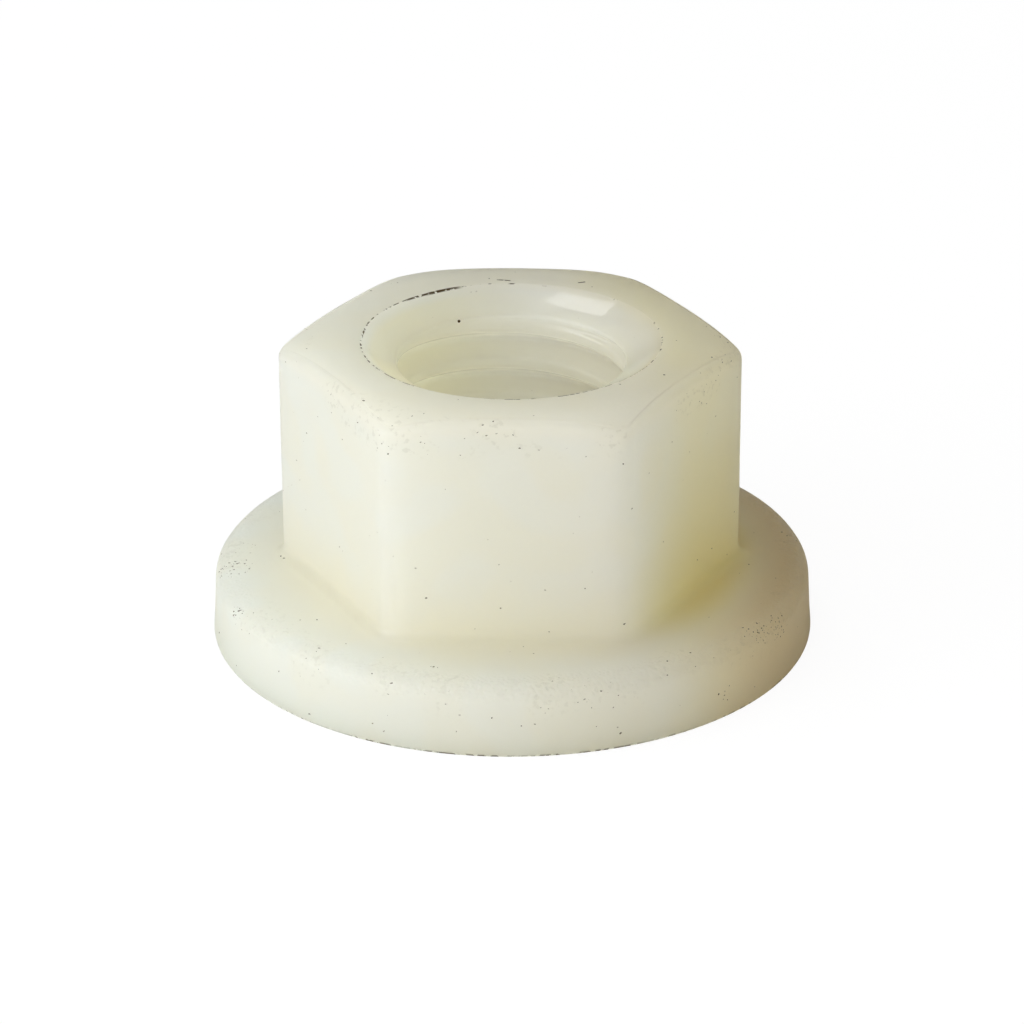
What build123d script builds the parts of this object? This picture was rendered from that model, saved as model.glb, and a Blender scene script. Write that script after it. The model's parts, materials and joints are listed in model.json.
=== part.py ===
from build123d import *
from math import radians, sqrt, tan
import os

# Moulded nylon hexagon flange nut for an M12 coarse thread, in millimetres.
# The bearing face lies on the XY plane, +Z is the thread's axis and points out of the crown,
# and two of the six flats face along Y. The nut is one moulding, so it is one solid.

# Driving dimensions
thread_diameter = 12.0
thread_pitch = 1.75
across_flats = 18.0
total_height = 13.7
flange_diameter = 27.0

# Hexagon
corner_radius = 1.0            # the six upright edges
crown_level_radius = 8.05      # level ring around the bore, before the crown falls away
crown_arc_radius = 4.6         # section of the fall, tangent to the level ring
crown_edge_break = 0.15        # where the crown meets the flats

# Flange
flange_edge_height = 3.2       # where the side would meet the top, before rounding
flange_side_draft = 3.0        # degrees, the side leans in towards the top
flange_top_slope = 3.0         # degrees, the top rises towards the hexagon
flange_shoulder_radius = 0.75
flange_bottom_break = 0.15
foot_width = 0.4               # sloping band where the flange's top meets the hexagon

# Bore: its wall is the thread's minor diameter, and both mouths are countersunk
bore_radius = (thread_diameter - 1.0825 * thread_pitch) / 2
mouth_radius = 6.65
mouth_angle = 120.0
mouth_edge_radius = 0.12

# Derived dimensions
corner_distance = across_flats / sqrt(3)
fall_width = corner_distance - crown_level_radius
corner_drop = crown_arc_radius - sqrt(crown_arc_radius**2 - fall_width**2)
flange_radius = flange_diameter / 2
shoulder_distance = flange_radius - flange_edge_height * tan(radians(flange_side_draft))
slope = tan(radians(flange_top_slope))
flange_apex_height = flange_edge_height + shoulder_distance * slope
lowest_foot_height = flange_apex_height - corner_distance * slope

with BuildPart() as flange_nut:
    # Crown: a turned form, level around the bore and falling in an arc towards the corners
    with BuildSketch(Plane.YZ):
        with BuildLine():
            level = Line((0, total_height), (crown_level_radius, total_height))
            corner = (corner_distance, total_height - corner_drop)
            RadiusArc(level @ 1, corner, crown_arc_radius)
            Polyline(corner, (corner_distance, 0), (0, 0), level @ 0)
        make_face()
    revolve(axis=Axis.Z)

    # Hexagon: trims the turned form to six flats with rounded upright edges
    with BuildSketch():
        RegularPolygon(across_flats / 2, side_count=6, major_radius=False)
        fillet(vertices(), corner_radius)
    extrude(amount=total_height, mode=Mode.INTERSECT)
    crown = faces().filter_by(GeomType.TORUS)[0]
    chamfer(crown.edges().filter_by(GeomType.BSPLINE), crown_edge_break)

    # Flange: a turned disc with a drafted side and a top that rises gently to the hexagon
    with BuildSketch(Plane.YZ):
        with BuildLine():
            Polyline(
                (0, 0),
                (flange_radius, 0),
                (shoulder_distance, flange_edge_height),
                (0, flange_apex_height),
                close=True,
            )
        make_face()
        chamfer(vertices().sort_by(Axis.X)[-1], flange_bottom_break)
        fillet(vertices().sort_by(Axis.Y)[-2], flange_shoulder_radius)
    revolve(axis=Axis.Z)

    # Foot: eases the corner all round the base of the hexagon
    flange_top = faces().filter_by(GeomType.CONE).sort_by(Axis.Z)[-1]
    foot = flange_top.edges().filter_by_position(Axis.Z, lowest_foot_height, total_height)
    chamfer(foot, foot_width)

    # Bore, countersunk from both faces, with the edge of each mouth just rounded
    with Locations(Plane.XY.offset(total_height), -Plane.XY):
        CounterSinkHole(bore_radius, mouth_radius, counter_sink_angle=mouth_angle)
    crown_level, bearing_face = faces().sort_by(Axis.Z)[-1], faces().sort_by(Axis.Z)[0]
    mouths = [face.edges().sort_by(SortBy.RADIUS)[0] for face in (crown_level, bearing_face)]
    fillet(mouths, mouth_edge_radius)

flange_nut.part.label = "flange_nut"
os.makedirs("parts", exist_ok=True)
export_step(flange_nut.part, "parts/flange_nut.step")
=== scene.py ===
import json
from math import acos, asin, atan, atan2, ceil, cos, pi, radians, sin, sqrt, tan

import bmesh
import bpy
from mathutils import Matrix, Vector, noise


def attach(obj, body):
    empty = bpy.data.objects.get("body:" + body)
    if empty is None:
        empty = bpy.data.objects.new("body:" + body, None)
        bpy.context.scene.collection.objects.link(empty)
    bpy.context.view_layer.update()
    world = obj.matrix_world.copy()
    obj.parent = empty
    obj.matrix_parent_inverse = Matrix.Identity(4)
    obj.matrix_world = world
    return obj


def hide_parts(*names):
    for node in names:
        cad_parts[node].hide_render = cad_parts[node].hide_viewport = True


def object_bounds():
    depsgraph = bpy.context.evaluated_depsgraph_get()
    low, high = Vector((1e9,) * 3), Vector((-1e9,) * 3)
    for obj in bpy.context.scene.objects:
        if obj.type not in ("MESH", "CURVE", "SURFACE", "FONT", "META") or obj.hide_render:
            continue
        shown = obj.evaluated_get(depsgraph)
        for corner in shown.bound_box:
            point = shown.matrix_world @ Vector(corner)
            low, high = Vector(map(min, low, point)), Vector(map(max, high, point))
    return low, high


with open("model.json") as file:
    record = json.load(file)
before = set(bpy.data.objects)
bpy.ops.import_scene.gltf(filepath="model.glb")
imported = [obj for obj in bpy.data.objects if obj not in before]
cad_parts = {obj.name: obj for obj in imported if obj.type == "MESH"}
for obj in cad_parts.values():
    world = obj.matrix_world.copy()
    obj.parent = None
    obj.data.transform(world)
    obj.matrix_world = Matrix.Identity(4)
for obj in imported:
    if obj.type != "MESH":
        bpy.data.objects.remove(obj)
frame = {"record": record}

# A moulded nylon flange nut. Lengths are in millimetres until MM turns them into the frame's metres.
MM = 0.001
NODE = "flange_nut"

CAD_LOW, CAD_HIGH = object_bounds()

# Sizes read from the frame
HEIGHT = CAD_HIGH.z / MM
FLANGE_RADIUS = CAD_HIGH.x / MM
MOUNTS = {mount["name"]: mount for mount in frame["record"]["mounts"]}
BORE_RADIUS = MOUNTS["thread"]["dims"]["r_mm"]

# Hexagon
FLAT_DISTANCE = 9.0
CORNER_RADIUS = 1.0
CORNER_CENTRE = (FLAT_DISTANCE - CORNER_RADIUS) / cos(pi / 6)
HALF_FLAT = (FLAT_DISTANCE - CORNER_RADIUS) * tan(pi / 6)
CROWN_LEVEL_RADIUS = 8.05
CROWN_ARC_RADIUS = 4.6
CROWN_EDGE_RADIUS = 0.52

# Flange
FLANGE_EDGE_HEIGHT = 3.2
FLANGE_DRAFT = tan(radians(3.0))
FLANGE_SLOPE = tan(radians(3.0))
SHOULDER_DISTANCE = FLANGE_RADIUS - FLANGE_EDGE_HEIGHT * FLANGE_DRAFT
SHOULDER_RADIUS = 0.75
BOTTOM_EDGE_RADIUS = 0.16
FOOT_RADIUS = 0.5

# Bore and thread. The slant of each mouth is a little hollow, and a groove's width is a share of the pitch.
MOUTH_RADIUS = 6.65
MOUTH_ANGLE = radians(30.0)
MOUTH_SLOPE = tan(MOUTH_ANGLE)
MOUTH_EDGE_RADIUS = 0.1
MOUTH_HOLLOW = 0.05
THROAT_RADIUS = 0.2
THREAD_RADIUS = 6.0
THREAD_DEPTH = THREAD_RADIUS - BORE_RADIUS
PITCH = 1.75
THREAD_RUNOUT = 0.45
CREST_HALF_WIDTH = 0.08
FLANK_WIDTH = 0.42
CREST_HEIGHT = 12.08
CREST_ANGLE = radians(63.2)

# The outside of a moulding is never quite true: beyond OUTSIDE_RADIUS and above TRUE_HEIGHT it dips
# under its nominal surface by up to DIP, and the hexagon's form stood a little off the bore's axis
OUTSIDE_RADIUS = 7.0
TRUE_HEIGHT = 0.3
DIP = 0.03
DIP_SPREAD = 2.6
HEXAGON_SHIFT = -0.06

# Colours: two of the clouds, a straw glow painted round the foot, a pale glow painted on the bore's wall,
# two of painted shade on the dark side, the light that comes through (painted deeper on the shaded side) and
# the dirt
MILK = (0.915, 0.95, 0.915, 1)
CREAM = (0.93, 0.94, 0.875, 1)
STRAW = (1.0, 0.965, 0.84, 1)
PALE = (0.98, 0.985, 0.92, 1)
AMBER = (0.995, 0.845, 0.42, 1)
TAN = (0.77, 0.65, 0.45, 1)
HONEY = (0.97, 0.90, 0.70, 1)
GRIME = (0.085, 0.055, 0.025, 1)

# How the nylon takes light
LIGHT_THROUGH = 0.55
SCATTER_DEPTH = 5.0
NYLON_IOR = 1.53
PIN_ROUGHNESS = 0.05
MOULD_ROUGHNESS = 0.26

# Patterns: the larger its scale, the finer a pattern is. Then the depth of the grain
CLOUD_SCALE = 0.42
FINE_SCALE = 3.6
GRAIN_SCALE = 6.5
GRAIN_DEPTH = 0.08

# Specks of dirt: one may lie in each cell of this size, and none is larger than this radius
SPECK_SPACING = 0.14
SPECK_RADIUS = 0.055
SPECK_STRAY = (0.3, -0.2, 0.25)
SPECK_FLATNESS = (1.0, 1.0, 1.6)

# Clusters of fine specks, each with its centre and its reach
SPECK_CLUSTERS = [
    ((10.9, -7.3, 2.95), 0.8),
    ((12.2, -6.3, 2.9), 1.1),
    ((-12.4, -1.6, 3.3), 1.1),
    ((-12.2, -5.6, 3.0), 0.7),
    ((9.4, -9.6, 1.2), 0.6),
]
# Scratches on the crown: place, half length, half width and direction
SCRATCHES = [
    (-0.5, 7.05, 0.36, 0.06, radians(-10)),
    (3.05, 6.85, 0.20, 0.06, radians(20)),
]
# The one bold speck of dirt inside the mouth: centre and reach
MOUTH_SPECK = ((-2.45, 4.42, 12.75), 0.11)
# Places along the dirty line round the mouth, as angles about the axis
CLEAN_STRETCH = radians(58)
CAKED_STRETCH = radians(-172)
DASH = radians(119)
DASH_TAIL = radians(126)

# Mesh density: columns round the nut, rows down the thread, and steps along each stretch of the section
FLAT_COLUMNS = 34
CORNER_COLUMNS = 12
ROWS_PER_PITCH = 18
LIP_STEPS = 4
MOUTH_STEPS = 14
THROAT_STEPS = 6
BEARING_STEPS = 10
BOTTOM_EDGE_STEPS = 4
SIDE_STEPS = 8
SHOULDER_STEPS = 10
FLANGE_TOP_STEPS = 10
FOOT_STEPS = 8
FLAT_STEPS = 16
CROWN_EDGE_STEPS = 6
CROWN_STEPS = 18
CROWN_LEVEL_STEPS = 8
WELD_DISTANCE = 0.002


def eased(count):
    """Steps from 0 to 1 that crowd together towards both ends."""
    return [0.5 - 0.5 * cos(pi * k / count) for k in range(count + 1)]


def smooth_step(x):
    """Rises softly from 0 to 1 while x does."""
    x = min(max(x, 0.0), 1.0)
    return x * x * (3 - 2 * x)


def column_angles():
    """Polar angles once round the hexagon, crowded at its rounded corners."""
    angles = []
    for side in range(6):
        corner, middle = side * pi / 3, side * pi / 3 + pi / 6
        for k in range(CORNER_COLUMNS):
            turn = -pi / 6 + pi / 3 * k / CORNER_COLUMNS
            x, y = CORNER_CENTRE + CORNER_RADIUS * cos(turn), CORNER_RADIUS * sin(turn)
            angles.append(corner + atan2(y, x))
        for t in eased(FLAT_COLUMNS)[:-1]:
            angles.append(middle + atan2((2 * t - 1) * HALF_FLAT, FLAT_DISTANCE))
    return angles + [angles[0] + 2 * pi]


def hexagon_at(angle):
    """The rounded hexagon's radius at a polar angle, and the cosine from its normal to the radius."""
    from_middle = (angle % (pi / 3)) - pi / 6
    if abs(from_middle) <= atan(HALF_FLAT / FLAT_DISTANCE):
        return FLAT_DISTANCE / cos(from_middle), cos(from_middle)
    from_corner = pi / 6 - abs(from_middle)
    across = sqrt(CORNER_RADIUS**2 - (CORNER_CENTRE * sin(from_corner)) ** 2)
    return CORNER_CENTRE * cos(from_corner) + across, across / CORNER_RADIUS


def crown_height(radius):
    """The crown is level round the mouth and falls in an arc towards the corners."""
    fall = max(radius - CROWN_LEVEL_RADIUS, 0.0)
    return HEIGHT - CROWN_ARC_RADIUS + sqrt(CROWN_ARC_RADIUS**2 - fall**2)


def flange_top_height(radius):
    return FLANGE_EDGE_HEIGHT + (SHOULDER_DISTANCE - radius) * FLANGE_SLOPE


def rounded(before, corner, after, radius, count):
    """Points of an arc that rounds the corner between two straight runs of a section."""
    a = (Vector(before) - Vector(corner)).normalized()
    b = (Vector(after) - Vector(corner)).normalized()
    half = acos(max(min(a.dot(b), 1.0), -1.0)) / 2
    centre = Vector(corner) + (a + b).normalized() * radius / sin(half)
    start = Vector(corner) + a * radius / tan(half) - centre
    end = Vector(corner) + b * radius / tan(half) - centre
    swing = pi - 2 * half
    points = []
    for k in range(count + 1):
        t = k / count
        point = centre + (start * sin((1 - t) * swing) + end * sin(t * swing)) / sin(swing)
        points.append((point.x, point.y))
    return points


def run(start, end, count):
    """Points between two ends of a straight run, without the ends."""
    return [
        (start[0] + (end[0] - start[0]) * t, start[1] + (end[1] - start[1]) * t)
        for t in eased(count)[1:-1]
    ]


def mouth(level, inward):
    """Section of a countersunk mouth, from the level face to the bore wall. inward is -1 at the crown."""
    depth = (MOUTH_RADIUS - BORE_RADIUS) * MOUTH_SLOPE
    corner, end = (MOUTH_RADIUS, level), (BORE_RADIUS, level + inward * depth)
    lip = rounded((MOUTH_RADIUS + 1, level), corner, end, MOUTH_EDGE_RADIUS, LIP_STEPS)
    throat = rounded(corner, end, (BORE_RADIUS, level + inward * HEIGHT), THROAT_RADIUS, THROAT_STEPS)
    slant = []
    for k, (radius, height) in enumerate(run(lip[-1], throat[0], MOUTH_STEPS), start=1):
        t = eased(MOUTH_STEPS)[k]
        hollow = 4 * t * (1 - t) * MOUTH_HOLLOW
        slant.append((radius + hollow * sin(MOUTH_ANGLE), height + inward * hollow * cos(MOUTH_ANGLE)))
    return lip + slant + throat


def outer_section(angle):
    """Section of the outside at one angle, from the bottom mouth round to the crown's mouth."""
    hexagon, lean = hexagon_at(angle)
    shoulder = (SHOULDER_DISTANCE, FLANGE_EDGE_HEIGHT)
    bottom = (FLANGE_RADIUS, 0.0)
    foot = (hexagon, flange_top_height(hexagon))
    under = rounded((0, 0), bottom, shoulder, BOTTOM_EDGE_RADIUS, BOTTOM_EDGE_STEPS)
    top = rounded(bottom, shoulder, foot, SHOULDER_RADIUS, SHOULDER_STEPS)
    lower = mouth(0.0, 1)[::-1]
    section = lower + run(lower[-1], under[0], BEARING_STEPS) + under
    section += run(under[-1], top[0], SIDE_STEPS) + top

    ease = []
    for k in range(FOOT_STEPS + 1):
        turn = pi / 2 * k / FOOT_STEPS
        radius = hexagon + FOOT_RADIUS * (1 - sin(turn)) / lean
        ease.append((radius, flange_top_height(radius) + FOOT_RADIUS * (1 - cos(turn))))
    section += run(top[-1], ease[0], FLANGE_TOP_STEPS) + ease

    edge = crown_height(hexagon)
    fall = max(hexagon - CROWN_LEVEL_RADIUS, 0.0)
    steepness = asin(fall / CROWN_ARC_RADIUS)
    inside = (hexagon - cos(steepness), edge + sin(steepness))
    brim = rounded(foot, (hexagon, edge), inside, CROWN_EDGE_RADIUS, CROWN_EDGE_STEPS)
    section += run(ease[-1], brim[0], FLAT_STEPS) + brim
    for t in eased(CROWN_STEPS)[1:-1]:
        radius = brim[-1][0] + (CROWN_LEVEL_RADIUS - brim[-1][0]) * t
        section.append((radius, min(crown_height(radius), HEIGHT)))
    section.append((CROWN_LEVEL_RADIUS, HEIGHT))
    upper = mouth(HEIGHT, -1)
    return section + run(section[-1], upper[0], CROWN_LEVEL_STEPS) + upper


def thread_depth(height, angle, low, high):
    """How far the thread's groove reaches into the wall, running out to nothing at both mouths."""
    turns = (height - CREST_HEIGHT) / PITCH - (angle - CREST_ANGLE) / (2 * pi)
    from_crest = abs(turns - round(turns))
    groove = smooth_step((from_crest - CREST_HALF_WIDTH) / FLANK_WIDTH)
    runout = smooth_step(min(height - low, high - height) / THREAD_RUNOUT)
    return THREAD_DEPTH * groove * runout


def thread_section(angle, low, high):
    """The bore wall at one angle, downwards, in rows that follow the thread."""
    rows = int(ceil((high - low) / PITCH + 1)) * ROWS_PER_PITCH
    first = CREST_HEIGHT + PITCH * (angle - CREST_ANGLE) / (2 * pi)
    first += PITCH * ceil((high - CREST_HEIGHT) / PITCH + CREST_ANGLE / (2 * pi))
    section = []
    for k in range(rows + 1):
        height = min(max(first - PITCH * k / ROWS_PER_PITCH, low), high)
        section.append((BORE_RADIUS + thread_depth(height, angle, low, high), height))
    return section


def hexagon_shift(radius, height):
    """How far a point is moved sideways: the hexagon's outside is, the bore and the flange aren't."""
    outside = smooth_step(radius - OUTSIDE_RADIUS) * smooth_step(height - FLANGE_EDGE_HEIGHT)
    return HEXAGON_SHIFT * outside


def dip(mesh):
    """Lets the outside sink a little here and there. The bearing face and the bore stay true."""
    mesh.normal_update()
    moves = []
    for vertex in mesh.verts:
        place = vertex.co
        beyond_bore = smooth_step((place.xy.length - OUTSIDE_RADIUS) / 0.8)
        outside = beyond_bore * smooth_step((place.z - TRUE_HEIGHT) / 0.6)
        share = 0.5 + 0.5 * noise.noise(place / DIP_SPREAD)
        moves.append(vertex.normal * DIP * outside * share)
    for vertex, move in zip(mesh.verts, moves):
        vertex.co -= move


def build_nut():
    """Columns of points once round the nut, each one a closed section, joined by quadrilaterals."""
    wall_end = mouth(0.0, 1)[-1][1]
    mesh = bmesh.new()
    columns = []
    for angle in column_angles():
        section = outer_section(angle) + thread_section(angle, wall_end, HEIGHT - wall_end)
        across = Vector((cos(angle), sin(angle), 0.0))
        columns.append([
            mesh.verts.new(across * radius + Vector((hexagon_shift(radius, height), 0, height)))
            for radius, height in section
        ])
    for left, right in zip(columns, columns[1:]):
        for k in range(len(left)):
            after = (k + 1) % len(left)
            mesh.faces.new((left[k], right[k], right[after], left[after]))
    bmesh.ops.remove_doubles(mesh, verts=mesh.verts, dist=WELD_DISTANCE)
    bmesh.ops.recalc_face_normals(mesh, faces=mesh.faces)
    for face in mesh.faces:
        face.smooth = True
    dip(mesh)
    bmesh.ops.scale(mesh, vec=(MM, MM, MM), verts=mesh.verts)
    data = bpy.data.meshes.new("nylon_nut")
    mesh.to_mesh(data)
    mesh.free()
    nut = bpy.data.objects.new("nylon_nut", data)
    bpy.context.scene.collection.objects.link(nut)
    return nut


class Recipe:
    """Builds a material's nodes from short formulas. Values may be numbers, colours or sockets."""

    def __init__(self, name):
        self.material = bpy.data.materials.new(name)
        self.material.use_nodes = True
        self.tree = self.material.node_tree
        self.shader = self.tree.nodes["Principled BSDF"]
        self.output = self.tree.nodes["Material Output"]

    def node(self, kind, *values, **settings):
        """A new node. Its first inputs take the values in their order, and None leaves one as it is."""
        made = self.tree.nodes.new(kind)
        for name, setting in settings.items():
            setattr(made, name, setting)
        for socket, value in zip(made.inputs, values):
            self.give(socket, value)
        return made

    def give(self, socket, value):
        if isinstance(value, bpy.types.NodeSocket):
            self.tree.links.new(value, socket)
        elif value is not None:
            socket.default_value = value

    def maths(self, operation, *values):
        return self.node("ShaderNodeMath", *values, operation=operation).outputs[0]

    def product(self, first, *others):
        for other in others:
            first = self.maths("MULTIPLY", first, other)
        return first

    def largest(self, first, *others):
        for other in others:
            first = self.maths("MAXIMUM", first, other)
        return first

    def ramp(self, value, start, end, low=0.0, high=1.0):
        """Rises smoothly from low to high while value goes from start to end."""
        limits = (value, start, end, low, high)
        return self.node("ShaderNodeMapRange", *limits, interpolation_type="SMOOTHSTEP").outputs[0]

    def band(self, value, low, high, edge):
        """One while value is between low and high, with a soft edge outside them."""
        return self.product(self.ramp(value, low - edge, low), self.ramp(value, high, high + edge, 1.0, 0.0))

    def noise(self, place, scale, detail=0.0):
        return self.node("ShaderNodeTexNoise", place, None, scale, detail).outputs["Fac"]

    def cells(self, place, scale):
        """The distance to the nearest of many scattered points, and a random colour for each of them."""
        made = self.node("ShaderNodeTexVoronoi", place, None, scale)
        return made.outputs["Distance"], made.outputs["Color"]

    def near(self, place, centre, radius):
        """One at a place, falling to nothing at a radius from it."""
        distance = self.node("ShaderNodeVectorMath", place, centre, operation="DISTANCE").outputs["Value"]
        return self.ramp(distance, 0.25 * radius, radius, 1.0, 0.0)

    def tint(self, share, under, over):
        """A share of the colour over, and the rest of the colour under."""
        made = self.node("ShaderNodeMix", data_type="RGBA")
        for name, value in (("Factor", share), ("A", under), ("B", over)):
            socket = [s for s in made.inputs if s.name == name and s.enabled][0]
            self.give(socket, value)
        return [s for s in made.outputs if s.enabled][0]


def nylon():
    """Milky nylon that lets light through, with fine specks, grime in its edges and a faint grain, and with
    painted shade on one side and a painted glow round its foot and in its bore.
    """
    recipe = Recipe("natural_nylon")
    object_place = recipe.node("ShaderNodeTexCoord").outputs["Object"]
    place = recipe.node("ShaderNodeVectorMath", object_place, operation="SCALE")
    place.inputs["Scale"].default_value = 1 / MM
    place = place.outputs[0]
    x, y, z = recipe.node("ShaderNodeSeparateXYZ", place).outputs
    radius = recipe.maths("SQRT", recipe.maths("ADD", recipe.product(x, x), recipe.product(y, y)))
    broad = recipe.noise(place, CLOUD_SCALE)
    fine = recipe.noise(place, FINE_SCALE, 2.0)
    bore = recipe.ramp(radius, MOUTH_RADIUS - 0.6, MOUTH_RADIUS, 1.0, 0.0)

    grime = recipe.largest(
        speck_share(recipe, place, broad, fine, z, radius),
        rim_share(recipe, broad, fine, x, y, z, radius),
        lower_edge_share(recipe, broad, fine, z, radius),
        mark_share(recipe, place, fine, x, y, z),
    )
    colour = recipe.tint(recipe.ramp(broad, 0.35, 0.65), MILK, CREAM)
    # Painted light: a straw glow painted into the crease round the foot
    colour = recipe.tint(foot_glow_and_crown_straw_share(recipe, z, radius), colour, STRAW)
    # Painted light: the bore's wall is painted paler, most of all deep down, for the light that glows
    # through the walls
    colour = recipe.tint(recipe.product(bore, recipe.ramp(z, 12.2, 13.0, 1.0, 0.3)), colour, PALE)
    # Painted shade: the warm shade of the dark side, painted amber
    colour = recipe.tint(shaded_side_amber_share(recipe, x, y, z, radius), colour, AMBER)
    # Painted light: the bore's wall is painted amber towards one side, for the warm light that comes through
    # it there
    colour = recipe.tint(recipe.product(bore, recipe.ramp(x, -5.0, 2.0, 0.3, 0.0)), colour, AMBER)
    # Painted shade: the flange on the dark side, painted tan
    colour = recipe.tint(shaded_flange_tan_share(recipe, x, radius), colour, TAN)
    # The light that comes through is honey coloured, and is painted deeper honey towards the shaded side as
    # painted shade
    honey_through_and_shade = recipe.product(recipe.ramp(x, -8.0, 8.0, 0.1, 0.45), recipe.ramp(bore, 0.0, 1.0, 1.0, 0.5))
    through = recipe.tint(grime, recipe.tint(honey_through_and_shade, colour, HONEY), GRIME)

    shader = recipe.shader
    recipe.give(shader.inputs["Base Color"], recipe.tint(grime, colour, GRIME))
    shader.inputs["IOR"].default_value = NYLON_IOR
    shader.inputs["Subsurface Weight"].default_value = 1.0
    shader.inputs["Subsurface Radius"].default_value = (1.0, 1.0, 1.0)
    shader.inputs["Subsurface Scale"].default_value = SCATTER_DEPTH * MM
    recipe.give(shader.inputs["Roughness"], roughness(recipe, fine, radius))
    recipe.give(shader.inputs["Normal"], grain(recipe, place, z, radius))
    sheer = recipe.node("ShaderNodeBsdfTranslucent", through)
    mix = recipe.node("ShaderNodeMixShader", LIGHT_THROUGH, shader.outputs[0], sheer.outputs[0])
    recipe.give(recipe.output.inputs["Surface"], mix.outputs[0])
    return recipe.material


def foot_glow_and_crown_straw_share(recipe, z, radius):
    """Painted light: a straw-coloured glow painted round the hexagon's foot, and the crown round the mouth
    turned part way to straw.
    """
    above_flange = recipe.ramp(z, FLANGE_EDGE_HEIGHT, 7.0, 1.0, 0.0)
    # The painted glow round the foot
    low = recipe.product(above_flange, recipe.ramp(radius, 9.5, 12.5, 1.0, 0.0))
    crown = recipe.product(recipe.ramp(z, 12.4, 13.4, 0.0, 0.5), recipe.ramp(radius, 6.2, 6.8))
    return recipe.largest(low, crown)


def shaded_side_amber_share(recipe, x, y, z, radius):
    """Painted shade: the faces on the side away from the lamps are painted amber, most of all low down, and
    the flange less than they.
    """
    side = recipe.ramp(recipe.maths("ADD", x, recipe.product(y, 0.25)), 2.8, 7.5)
    height = recipe.ramp(z, 3.0, 12.0, 0.85, 0.35)
    outside = recipe.ramp(radius, 5.5, 7.0)
    return recipe.product(side, height, outside, recipe.ramp(radius, 9.4, 11.4, 1.0, 0.4))


def shaded_flange_tan_share(recipe, x, radius):
    """Painted shade: the flange on that side is painted a darker, duller tan."""
    return recipe.product(recipe.ramp(x, 6.5, 12.5), recipe.ramp(radius, 10.4, 12.4))


def scattered(recipe, place, wanted):
    """Specks in a wanted share of the cells, some of them smaller and fainter than the others."""
    distance, colour = recipe.cells(place, 1 / SPECK_SPACING)
    pick, growth, strength = recipe.node("ShaderNodeSeparateColor", colour).outputs
    greatest = SPECK_RADIUS / SPECK_SPACING
    size = recipe.maths("ADD", recipe.product(growth, 0.7 * greatest), 0.3 * greatest)
    inside = recipe.maths("LESS_THAN", distance, size)
    chosen = recipe.maths("LESS_THAN", pick, wanted)
    return recipe.product(inside, chosen, recipe.maths("ADD", recipe.product(strength, 0.55), 0.45))


def speck_share(recipe, place, broad, fine, z, radius):
    """Flat specks of dirt, more where the nut is handled and most in the clusters, and faint smudges."""
    stray = recipe.node("ShaderNodeVectorMath", fine, SPECK_STRAY, place, operation="MULTIPLY_ADD")
    flat = recipe.node("ShaderNodeVectorMath", stray.outputs[0], SPECK_FLATNESS, operation="MULTIPLY")
    brow = recipe.product(recipe.ramp(radius, 8.3, 9.0), recipe.band(z, 12.3, 13.5, 0.5))
    flange = recipe.product(recipe.ramp(radius, 11.0, 12.6), recipe.ramp(z, 1.4, 2.6))
    worn = recipe.product(recipe.largest(brow, recipe.product(flange, 0.7)), recipe.ramp(broad, 0.46, 0.6))
    dirty = 0.0
    for centre, reach in SPECK_CLUSTERS:
        dirty = recipe.largest(recipe.near(place, centre, reach), dirty)
    wanted = recipe.largest(
        recipe.maths("ADD", recipe.product(worn, 0.05), 0.004),
        recipe.product(recipe.ramp(dirty, 0.0, 0.4), 0.55),
    )
    specks = scattered(recipe, flat.outputs[0], wanted)
    smudges = recipe.product(recipe.ramp(fine, 0.56, 0.68), worn, 0.1)
    outside = recipe.ramp(radius, MOUTH_RADIUS - 0.4, MOUTH_RADIUS, 0.2, 1.0)
    return recipe.product(recipe.largest(specks, smudges), outside)


def facing(recipe, x, y, radius, angle):
    """One where the place lies at an angle about the axis, falling to minus one on the far side."""
    across = recipe.maths("ADD", recipe.product(x, cos(angle)), recipe.product(y, sin(angle)))
    return recipe.maths("DIVIDE", across, recipe.maths("MAXIMUM", radius, 1.0))


def rim_share(recipe, broad, fine, x, y, z, radius):
    """A thin broken line of dirt where the countersink meets the crown, with one thick dash."""
    top = recipe.ramp(z, HEIGHT - 0.3, HEIGHT - 0.15)
    clean = recipe.ramp(facing(recipe, x, y, radius, CLEAN_STRETCH), 0.45, 0.8, 0.0, 0.14)
    caked = recipe.ramp(facing(recipe, x, y, radius, CAKED_STRETCH), 0.75, 0.95, 0.0, 0.03)
    wander = recipe.product(recipe.maths("SUBTRACT", broad, 0.5), 0.2)
    middle = recipe.maths("ADD", wander, MOUTH_RADIUS)
    off = recipe.maths("ABSOLUTE", recipe.maths("SUBTRACT", radius, middle))
    level = recipe.maths("SUBTRACT", recipe.maths("ADD", fine, caked), clean)
    line = recipe.product(recipe.ramp(off, 0.015, 0.05, 1.0, 0.0), recipe.ramp(level, 0.48, 0.57))
    crust = recipe.product(recipe.ramp(off, 0.02, 0.05, 1.0, 0.0), recipe.ramp(level, 0.59, 0.65))
    dash = recipe.ramp(facing(recipe, x, y, radius, DASH), cos(radians(9)), cos(radians(4)))
    tail = recipe.ramp(facing(recipe, x, y, radius, DASH_TAIL), cos(radians(12)), cos(radians(9)))
    stroke = recipe.product(recipe.ramp(off, 0.05, 0.11, 1.0, 0.0), dash, recipe.ramp(fine, 0.36, 0.42))
    thin = recipe.product(recipe.ramp(off, 0.03, 0.08, 1.0, 0.0), tail, recipe.ramp(fine, 0.42, 0.48))
    return recipe.product(top, recipe.largest(line, crust, stroke, thin))


def lower_edge_share(recipe, broad, fine, z, radius):
    """Dirt caught along the flange's lower edge."""
    edge = recipe.product(recipe.ramp(z, 0.06, 0.17, 1.0, 0.0), recipe.ramp(radius, 13.33, 13.4))
    return recipe.product(edge, recipe.ramp(fine, 0.43, 0.5), recipe.ramp(broad, 0.4, 0.55, 0.35, 1.0))


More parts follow.
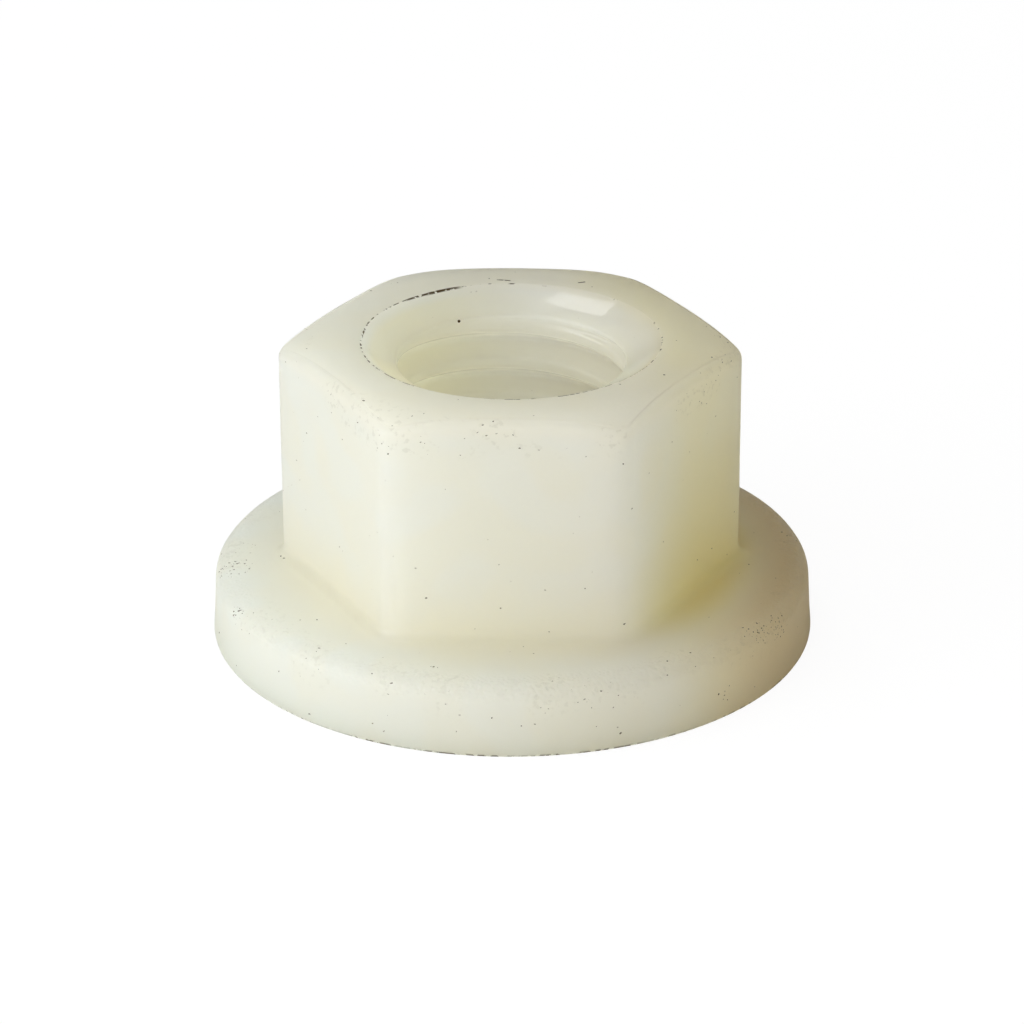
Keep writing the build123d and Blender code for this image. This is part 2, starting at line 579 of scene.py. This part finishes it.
def mark_share(recipe, place, fine, x, y, z):
    """Short scratches on the crown, filled with dirt, and the bold speck inside the mouth."""
    top = recipe.ramp(z, HEIGHT - 1.3, HEIGHT - 1.1)
    marks = 0.0
    for across, along, length, width, turn in SCRATCHES:
        u = recipe.maths("SUBTRACT", x, across)
        v = recipe.maths("SUBTRACT", y, along)
        s = recipe.maths("ADD", recipe.product(u, cos(turn)), recipe.product(v, sin(turn)))
        t = recipe.maths("SUBTRACT", recipe.product(v, cos(turn)), recipe.product(u, sin(turn)))
        ends = recipe.ramp(recipe.maths("ABSOLUTE", s), 0.7 * length, length, 1.0, 0.0)
        sides = recipe.ramp(recipe.maths("ABSOLUTE", t), 0.5 * width, width, 1.0, 0.0)
        marks = recipe.largest(recipe.product(ends, sides), marks)
    strokes = recipe.product(top, marks, recipe.ramp(fine, 0.36, 0.44))
    return recipe.largest(strokes, recipe.ramp(recipe.near(place, *MOUTH_SPECK), 0.3, 0.5))


def roughness(recipe, fine, radius):
    """The bore and its mouths came off a polished pin, the outside off a duller mould."""
    outside = recipe.maths("ADD", recipe.product(fine, 0.2), MOULD_ROUGHNESS)
    return recipe.ramp(radius, MOUTH_RADIUS - 0.1, MOUTH_RADIUS, PIN_ROUGHNESS, outside)


def grain(recipe, place, z, radius):
    """A fine pebbled grain outside, deepest on the flange's shoulder."""
    shoulder = recipe.product(recipe.ramp(radius, 11.8, 12.6), recipe.ramp(z, 2.3, 2.9))
    faint = recipe.ramp(radius, MOUTH_RADIUS, MOUTH_RADIUS + 0.2, 0.0, 0.05)
    bump = recipe.node("ShaderNodeBump")
    bump.inputs["Distance"].default_value = GRAIN_DEPTH * MM
    recipe.give(bump.inputs["Strength"], recipe.maths("ADD", shoulder, faint))
    recipe.give(bump.inputs["Height"], recipe.noise(place, GRAIN_SCALE))
    return bump.outputs[0]


nut = build_nut()
nut.data.materials.append(nylon())
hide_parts(NODE)
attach(nut, "root")

# The floor lies a hair below the nut, so that light which leaves the bearing face comes back off it
FLOOR_GAP = 0.03
FLOOR_REACH = 2000.0
FLOOR_COLOUR = (0.9, 0.9, 0.9, 1)
FLOOR_WHITENESS = 0.9
FLOOR_GLOW = 1.04


def make_floor():
    """A plain pale floor, far wider than the view. The camera sees it white, less the nut's soft shadow."""
    data = bpy.data.meshes.new("floor")
    corners = [
        Vector((x * FLOOR_REACH, y * FLOOR_REACH, -FLOOR_GAP)) * MM
        for x, y in ((-1, -1), (1, -1), (1, 1), (-1, 1))
    ]
    data.from_pydata(corners, [], [(0, 1, 2, 3)])
    floor = bpy.data.objects.new("floor", data)
    bpy.context.scene.collection.objects.link(floor)
    material = bpy.data.materials.new("floor_white")
    material.use_nodes = True
    tree = material.node_tree
    tree.nodes.clear()
    out = tree.nodes.new("ShaderNodeOutputMaterial")
    mix = tree.nodes.new("ShaderNodeMixShader")
    pale = tree.nodes.new("ShaderNodeBsdfDiffuse")
    pale.inputs["Color"].default_value = FLOOR_COLOUR
    glow = tree.nodes.new("ShaderNodeEmission")
    glow.inputs["Strength"].default_value = FLOOR_GLOW
    path = tree.nodes.new("ShaderNodeLightPath")
    share = tree.nodes.new("ShaderNodeMath")
    share.operation = "MULTIPLY"
    share.inputs[1].default_value = FLOOR_WHITENESS
    tree.links.new(path.outputs["Is Camera Ray"], share.inputs[0])
    tree.links.new(share.outputs[0], mix.inputs[0])
    tree.links.new(pale.outputs[0], mix.inputs[1])
    tree.links.new(glow.outputs[0], mix.inputs[2])
    tree.links.new(mix.outputs[0], out.inputs[0])
    data.materials.append(material)


make_floor()


def make_world():
    """White to the camera, and no light on the nut."""
    world = bpy.data.worlds.new("studio")
    bpy.context.scene.world = world
    world.use_nodes = True
    tree = world.node_tree
    tree.nodes.clear()
    out = tree.nodes.new("ShaderNodeOutputWorld")
    white = tree.nodes.new("ShaderNodeBackground")
    white.inputs["Color"].default_value = (1, 1, 1, 1)
    path = tree.nodes.new("ShaderNodeLightPath")
    tree.links.new(path.outputs["Is Camera Ray"], white.inputs["Strength"])
    tree.links.new(white.outputs[0], out.inputs[0])


make_world()

# Lamps, in metres and watts: the window that the mouth mirrors, and soft boxes that all stand as far off
LAMP_DISTANCE = 0.5
SOFTBOX = (0.45, 0.45)


def area_light(name, direction, size, power, colour=(1, 1, 1), along=None):
    """A soft lamp that looks at the nut. size is its width and height, and its width points along."""
    data = bpy.data.lights.new(name, "AREA")
    data.shape = "RECTANGLE"
    data.size, data.size_y = size
    data.energy = power
    data.color = colour
    light = bpy.data.objects.new(name, data)
    towards = Vector(direction).normalized()
    across = Vector(along or (-towards.y, towards.x, 0.0))
    across = (across - towards * across.dot(towards)).normalized()
    turn = Matrix((across, towards.cross(across), towards)).transposed()
    light.location = Vector((0, 0, HEIGHT / 2 * MM)) + towards * LAMP_DISTANCE
    light.rotation_mode = "QUATERNION"
    light.rotation_quaternion = turn.to_quaternion()
    bpy.context.scene.collection.objects.link(light)


area_light("window", (-0.374, 0.28, 0.875), (0.22, 0.09), 0.34, along=(0.54, -0.68, 0.50))
area_light("sky", (-0.35, -0.15, 0.9), SOFTBOX, 0.74, (0.98, 0.99, 1.0))
area_light("left", (-0.95, -0.25, 0.25), (0.45, 0.18), 1.5, (0.95, 0.99, 1.0))
area_light("left_front", (-0.7, -0.7, 0.35), SOFTBOX, 1.2, (0.94, 0.97, 1.0))
area_light("front", (0.1, -1.0, 0.35), SOFTBOX, 1.2, (1.0, 0.96, 0.9))
area_light("back", (0.5, 0.8, 0.6), SOFTBOX, 0.43)

# Camera, with its lens in millimetres too
FOCUS_HEIGHT = 5.335
CAMERA_AZIMUTH, CAMERA_ELEVATION, CAMERA_ROLL = radians(1.3), radians(24.73), radians(-0.21)
CAMERA_DISTANCE = 200.3
FOCAL_LENGTH, SENSOR_WIDTH = 157.0, 36.0

lens = bpy.data.cameras.new("camera")
lens.lens, lens.sensor_width = FOCAL_LENGTH, SENSOR_WIDTH
lens.clip_start, lens.clip_end = 0.01, 10.0
camera = bpy.data.objects.new("camera", lens)
back = Vector((
    sin(CAMERA_AZIMUTH) * cos(CAMERA_ELEVATION),
    -cos(CAMERA_AZIMUTH) * cos(CAMERA_ELEVATION),
    sin(CAMERA_ELEVATION),
))
camera.location = (Vector((0, 0, FOCUS_HEIGHT)) + back * CAMERA_DISTANCE) * MM
camera.rotation_mode = "QUATERNION"
aim = back.to_track_quat("Z", "Y")
camera.rotation_quaternion = aim @ Matrix.Rotation(CAMERA_ROLL, 3, "Z").to_quaternion()
bpy.context.scene.collection.objects.link(camera)
bpy.context.scene.camera = camera

bpy.context.scene.view_settings.view_transform = "Standard"
